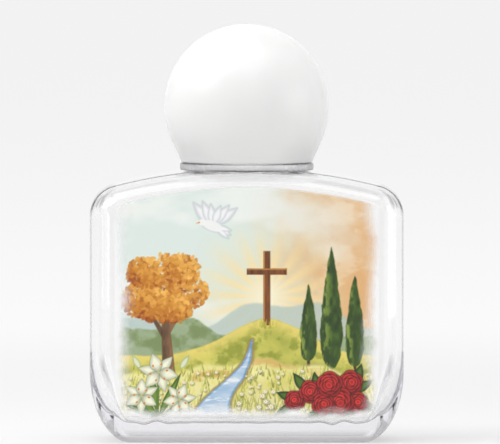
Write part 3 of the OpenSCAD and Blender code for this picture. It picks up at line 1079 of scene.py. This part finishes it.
def paint_lily(art, place, size, turn):
    """A white lily of six pointed petals, seen from the front."""
    order = [(k * math.pi / 3 + turn, k % 2) for k in (0, 2, 4, 1, 3, 5)]
    for angle, upper in order:
        length, width = size * (1.0 - 0.06 * upper), size * (0.24 + 0.05 * upper)
        inside, along = art.petal(place, length, width, angle)
        art.shape(inside + 0.12, 0.12, LILY_SHADE, 0.55)
        tone = 0.80 + 0.19 * np.clip(inside / (0.17 * size), 0, 1)
        tone = tone * (1 - 0.22 * smooth_step(0.45, 0.0, along))
        art.shape(inside, 0.07, np.multiply.outer(tone, LILY_WHITE))
    for angle, _ in order:
        tip = around_spot(place, 0.4 * size, angle + 0.4)
        art.shape(art.stroke(place, tip, 0.05, 0.04), 0.05, LILY_THREAD, 0.8)
        art.shape(art.oval(tip, (0.2, 0.15), angle), 0.06, LILY_POLLEN)


def paint_lilies(art):
    """A stand of lilies with long leaves and buds."""
    for root, length, width, angle in LILY_LEAVES:
        paint_leaf(art, root, length, width, angle, *LILY_GREENS)
    for place, _, _ in LILIES:
        root = (0.5 * place[0] - 8.0, 4.0)
        art.shape(art.stroke(root, place, 0.3, 0.2), 0.08, LILY_STEM)
    for root, angle in LILY_BUDS:
        paint_leaf(art, root, *LILY_BUD, angle, *BUD_GREENS)
    for place, size, turn in LILIES:
        paint_lily(art, place, size, turn)


def paint_daisies(art):
    """Small white flowers strewn over the meadow, off the water."""
    chance = np.random.default_rng(PRINT_SEED)
    for _ in range(DAISY_COUNT):
        place = (chance.uniform(-22, 22), 4.4 + 8.2 * chance.random() ** 1.3)
        size = (0.26 + 0.34 * chance.random()) * (1.3 - 0.05 * place[1])
        if stream_depth(*np.array(place)) > -size:
            continue
        part, near = art.part(place, 1.5)
        right, up = part.x - place[0], part.z - place[1]
        radius = np.hypot(right, up * 1.15)
        reach = size * (0.78 + 0.22 * np.cos(DAISY_PETALS * np.arctan2(up, right)))
        part.shape(size * 1.15 - np.hypot(right - 0.1, up + 0.18), 0.15, DAISY_SHADE, 0.4)
        part.shape(reach - radius, 0.06, DAISY_WHITE)
        part.shape(0.3 * size - radius, 0.05, DAISY_EYE)
        art.colour[near] = part.colour


def print_colours(x, z, inset):
    """Colours of the print with its soft, brushed edges: red, green, blue and cover."""
    art = Picture(x, z)
    paint_sky(art)
    paint_hills(art)
    paint_autumn_tree(art)
    paint_cross(art)
    for number, (place, height, width) in enumerate(CYPRESSES):
        paint_cypress(art, place, height, width, number)
    paint_meadow(art)
    paint_stream(art)
    paint_dove(art)
    paint_daisies(art)
    paint_lilies(art)
    paint_roses(art)
    brush = cloud(x, z, 5, 60)
    loose = smooth_step(*LOOSE_HEIGHTS, z)
    cover = smooth_step(0, 0.5 + loose, inset + (0.4 + 1.2 * loose) * (brush - 0.4))
    cover *= smooth_step(0, PRINT_SIDES, PRINT_HALF - np.abs(x) + BRUSH_REACH * (brush - 0.5))
    cover *= smooth_step(*PRINT_FOOT, z + BRUSH_REACH * (cloud(x, z * 1.5, 4, 61) - 0.5))
    grey = art.colour.mean(-1, keepdims=True)
    ink = np.clip(grey + VIVID * (art.colour - grey), 0, 1)
    return np.concatenate([ink, cover[..., None]], -1)


def film_inset(x, z):
    """How far points lie inside the film's edge."""
    depth, normal, downward = depth_in_outline(FILM_FORM, x, z)
    return depth - roll_reach(FILM_FORM, normal, downward) - FILM_MARGIN


def film_reach(x, direction):
    """Where upright lines across the panel leave the film."""
    middle_z = CROWN_Z / 2

    def inside(step):
        return film_inset(x, middle_z + direction * step) > 0

    return middle_z + direction * longest(inside, np.full_like(x, middle_z))


def make_label():
    """The film as a closed sheet whose front carries the print in a colour layer."""
    half = FILM_HIGH.x - FILM_INSET
    columns = round(2 * half / FILM_STEP)
    rows = round((FILM_HIGH.z - FILM_LOW.z) / FILM_STEP)
    across = np.linspace(-half, half, columns)
    top, bottom = film_reach(across, 1), film_reach(across, -1)
    x = np.broadcast_to(across, (rows, columns))
    z = bottom + (top - bottom) * np.linspace(0, 1, rows)[:, None]
    front = np.stack([x, np.full_like(z, FILM_LOW.y), z], -1).reshape(-1, 3)
    index = np.arange(rows * columns).reshape(rows, columns)
    corners = [index[:-1, :-1], index[:-1, 1:], index[1:, 1:], index[1:, :-1]]
    faces = np.stack(corners, -1).reshape(-1, 4).tolist()
    rim = np.concatenate([index[0, :-1], index[:-1, -1], index[-1, :0:-1], index[:0:-1, 0]])
    back = front[rim] + (0, FILM_HIGH.y - FILM_LIFT - FILM_LOW.y, 0)
    behind = np.arange(len(rim)) + len(front)
    faces += np.stack([np.roll(rim, -1), rim, behind, np.roll(behind, -1)], -1).tolist()
    faces.append(behind[::-1].tolist())
    mesh = bpy.data.meshes.new("printed_film")
    mesh.from_pydata(np.concatenate([front, back]).tolist(), [], faces)
    mesh.update()
    colours = print_colours(x / MM, z / MM, film_inset(x, z) / MM).reshape(-1, 4)
    colours = np.concatenate([colours, np.zeros((len(rim), 4))])
    layer = mesh.color_attributes.new("print", "BYTE_COLOR", "POINT")
    layer.data.foreach_set("color_srgb", colours.astype(np.float32).ravel())
    return mesh


def printed_film():
    """Ink with a fine speck, which lets the clear panel show where it doesn't cover."""
    material, graph, shader = new_material("print")
    layer = graph.add("VertexColor", layer_name="print")
    grain = graph.noise(*FILM_SPECK)
    speck = graph.mixed(grain, *SPECK_GREYS)
    graph.fill(shader, {
        "Base Color": graph.mixed(SPECK_SHARE, layer.outputs["Color"], speck, "OVERLAY"),
        "Alpha": layer.outputs["Alpha"],
        "Roughness": graph.ranged(graph.noise(*FILM_HAZE), *GRAIN_SPAN, *FILM_MATTE),
        "Normal": graph.bump(grain, *SPECK_BUMP),
    })
    return material


# Stage, light and camera

BACKDROP = (0.888,) * 3
FLOOR_HALF = 6.0
FLOOR_DROP = 0.02 * MM
FLOOR_FADE = (0.08, 0.45)
FLOOR_DECAY = 0.9
FLOOR_GREY = (0.58,) * 3
FLOOR_GLOW = (0.30,) * 3
FLOOR_WHITE = (0.97,) * 3
FLOOR_UNSEEN = (0.84,) * 3
AMBIENT = 0.51
BACK_AMBIENT = 1.4
BACK_SPAN = (-0.2, 0.8)
LOW_SPAN = (0.6, 0.05)
LOW_LEAST = 0.1
PANEL_COUNT = 4
PANEL_EDGE = (-1.0, -0.7)
PANEL_LEVELS = (0.6, 0.95)
OVERHEAD_EDGE = (0.75, 0.95)
OVERHEAD_LEVELS = (1, 0.08)
LAMP_TARGET = (0, 0, 0.05)
LAMPS = (
    ("key", (-0.42, -0.16, 0.42), 0.35, 1.1),
    ("fill", (0.48, -0.14, 0.06), 0.35, 0.6),
    ("top", (-0.05, -0.12, 0.7), 0.7, 2.5),
)
BOUNCES = 32

# The photograph, in pixels, and the camera's place
PHOTO_WIDTH = 500
SIGHT_COLUMN = 246.75
SIGHT_ROW = 222.0
FLOOR_ROW = 439.7
FLASK_PIXELS = 313.5
CAMERA_DISTANCE = 3.0
CAMERA_RISE = math.radians(2.3)
SENSOR_WIDTH = 36


def make_floor():
    """A pale floor that keeps the shadow near the object and runs out into the background."""
    mesh = bpy.data.meshes.new("floor")
    corners = [(x * FLOOR_HALF, y * FLOOR_HALF, 0) for x, y in ((-1, -1), (1, -1), (1, 1), (-1, 1))]
    mesh.from_pydata(corners, [], [(0, 1, 2, 3)])
    floor = bpy.data.objects.new("floor", mesh)
    floor.location.z = -FLOOR_DROP
    SCENE.collection.objects.link(floor)
    material, graph, shader = new_material("floor")
    graph.nodes.remove(shader)
    far = graph.length(graph.place())
    decay = graph.calc("EXPONENT", graph.calc("MULTIPLY", graph.calc("POWER", far, 2), -FLOOR_DECAY))
    lit = graph.add("BsdfDiffuse", FLOOR_GREY)
    glow = graph.add("Emission", FLOOR_GLOW)
    near = graph.add("AddShader", lit.outputs[0], glow.outputs[0])
    distant = graph.add("Emission", graph.mixed(decay, BACKDROP, FLOOR_WHITE))
    seen = graph.choice(graph.ranged(far, *FLOOR_FADE), near, distant)
    unseen = graph.add("BsdfDiffuse", FLOOR_UNSEEN)
    sight = graph.rays("Is Camera Ray", "Is Transmission Ray", "Is Glossy Ray")
    surface = graph.choice(sight, unseen, seen)
    graph.fill(graph.nodes["Material Output"], {"Surface": surface.outputs[0]})
    mesh.materials.append(material)


def studio_panels(graph):
    """Pale panels on four sides with darker gaps between them, and a darker zone overhead."""
    angle = graph.calc("ARCTAN2", graph.axis("X", "Generated"), graph.axis("Y", "Generated"))
    wave = graph.calc("COSINE", graph.calc("MULTIPLY", angle, PANEL_COUNT))
    panels = graph.ranged(wave, *PANEL_EDGE, *PANEL_LEVELS)
    overhead = graph.ranged(graph.axis("Z", "Generated"), *OVERHEAD_EDGE, *OVERHEAD_LEVELS)
    return graph.calc("MULTIPLY", panels, overhead)


def make_world():
    """Soft light, stronger low down behind the object, with a pale background for what is seen
    directly and panels for what is seen in or through the clear plastic."""
    world = bpy.data.worlds.new("studio")
    SCENE.world = world
    world.use_nodes = True
    graph = Graph(world.node_tree)
    behind = graph.ranged(graph.axis("Y", "Generated"), *BACK_SPAN)
    low = graph.ranged(graph.axis("Z", "Generated"), *LOW_SPAN, LOW_LEAST)
    share = graph.calc("MULTIPLY", behind, low)
    strength = graph.ranged(share, 0, 1, AMBIENT, BACK_AMBIENT, "LINEAR")
    light = graph.fill(graph.nodes["Background"], {"Color": PLAIN, "Strength": strength})
    around = graph.add("Background", studio_panels(graph))
    bent = graph.choice(graph.rays("Is Transmission Ray", "Is Glossy Ray"), light, around)
    seen = graph.add("Background", BACKDROP)
    surface = graph.choice(graph.rays("Is Camera Ray"), bent, seen)
    graph.fill(graph.nodes["World Output"], {"Surface": surface.outputs[0]})


def soft_lamp(name, place, size, power):
    """A square lamp that faces the object."""
    data = bpy.data.lights.new(name, "AREA")
    data.size = size
    data.energy = power
    lamp = bpy.data.objects.new(name, data)
    lamp.location = place
    lamp.rotation_euler = (Vector(LAMP_TARGET) - Vector(place)).to_track_quat("-Z", "Y").to_euler()
    SCENE.collection.objects.link(lamp)


def make_camera():
    """A long lens nearly level with the object, framed as the photograph is."""
    scale = FLASK_PIXELS / (2 * OUTER_FORM["half_width"])
    middle = Vector((0, 0, (FLOOR_ROW - SIGHT_ROW) / scale))
    data = bpy.data.cameras.new("camera")
    data.sensor_width = SENSOR_WIDTH
    data.lens = SENSOR_WIDTH * scale * CAMERA_DISTANCE / PHOTO_WIDTH
    data.shift_x = (PHOTO_WIDTH / 2 - SIGHT_COLUMN) / PHOTO_WIDTH
    camera = bpy.data.objects.new("camera", data)
    back = Vector((0, -math.cos(CAMERA_RISE), math.sin(CAMERA_RISE)))
    camera.location = middle + back * CAMERA_DISTANCE
    camera.rotation_euler = (-back).to_track_quat("-Z", "Y").to_euler()
    SCENE.collection.objects.link(camera)
    SCENE.camera = camera


FLASK_TURNS = flask_turns()
ROUND_TURNS = np.linspace(0, 2 * math.pi, ROUND_COLUMNS, endpoint=False)
piece("bottle_clear", make_bottle(FLASK_TURNS), "flask", "clear_plastic", clear_plastic(), "bottle")
piece("ball_cap", make_ball(ROUND_TURNS), "cap", "white_plastic", white_plastic(), "cap_shell")
piece("cap_thread", make_insert(ROUND_TURNS), "cap", "inner_plastic", inner_plastic(), "cap_insert")
piece("printed_film", make_label(), "flask", "print", printed_film(), "label")
piece("seal_foam", make_seal(ROUND_TURNS), "seal", "foam", foam(), "seal_disc")

make_floor()
make_world()
for lamp in LAMPS:
    soft_lamp(*lamp)
make_camera()
SCENE.view_settings.view_transform = "Standard"
SCENE.cycles.max_bounces = BOUNCES
SCENE.cycles.transmission_bounces = BOUNCES
SCENE.cycles.glossy_bounces = BOUNCES
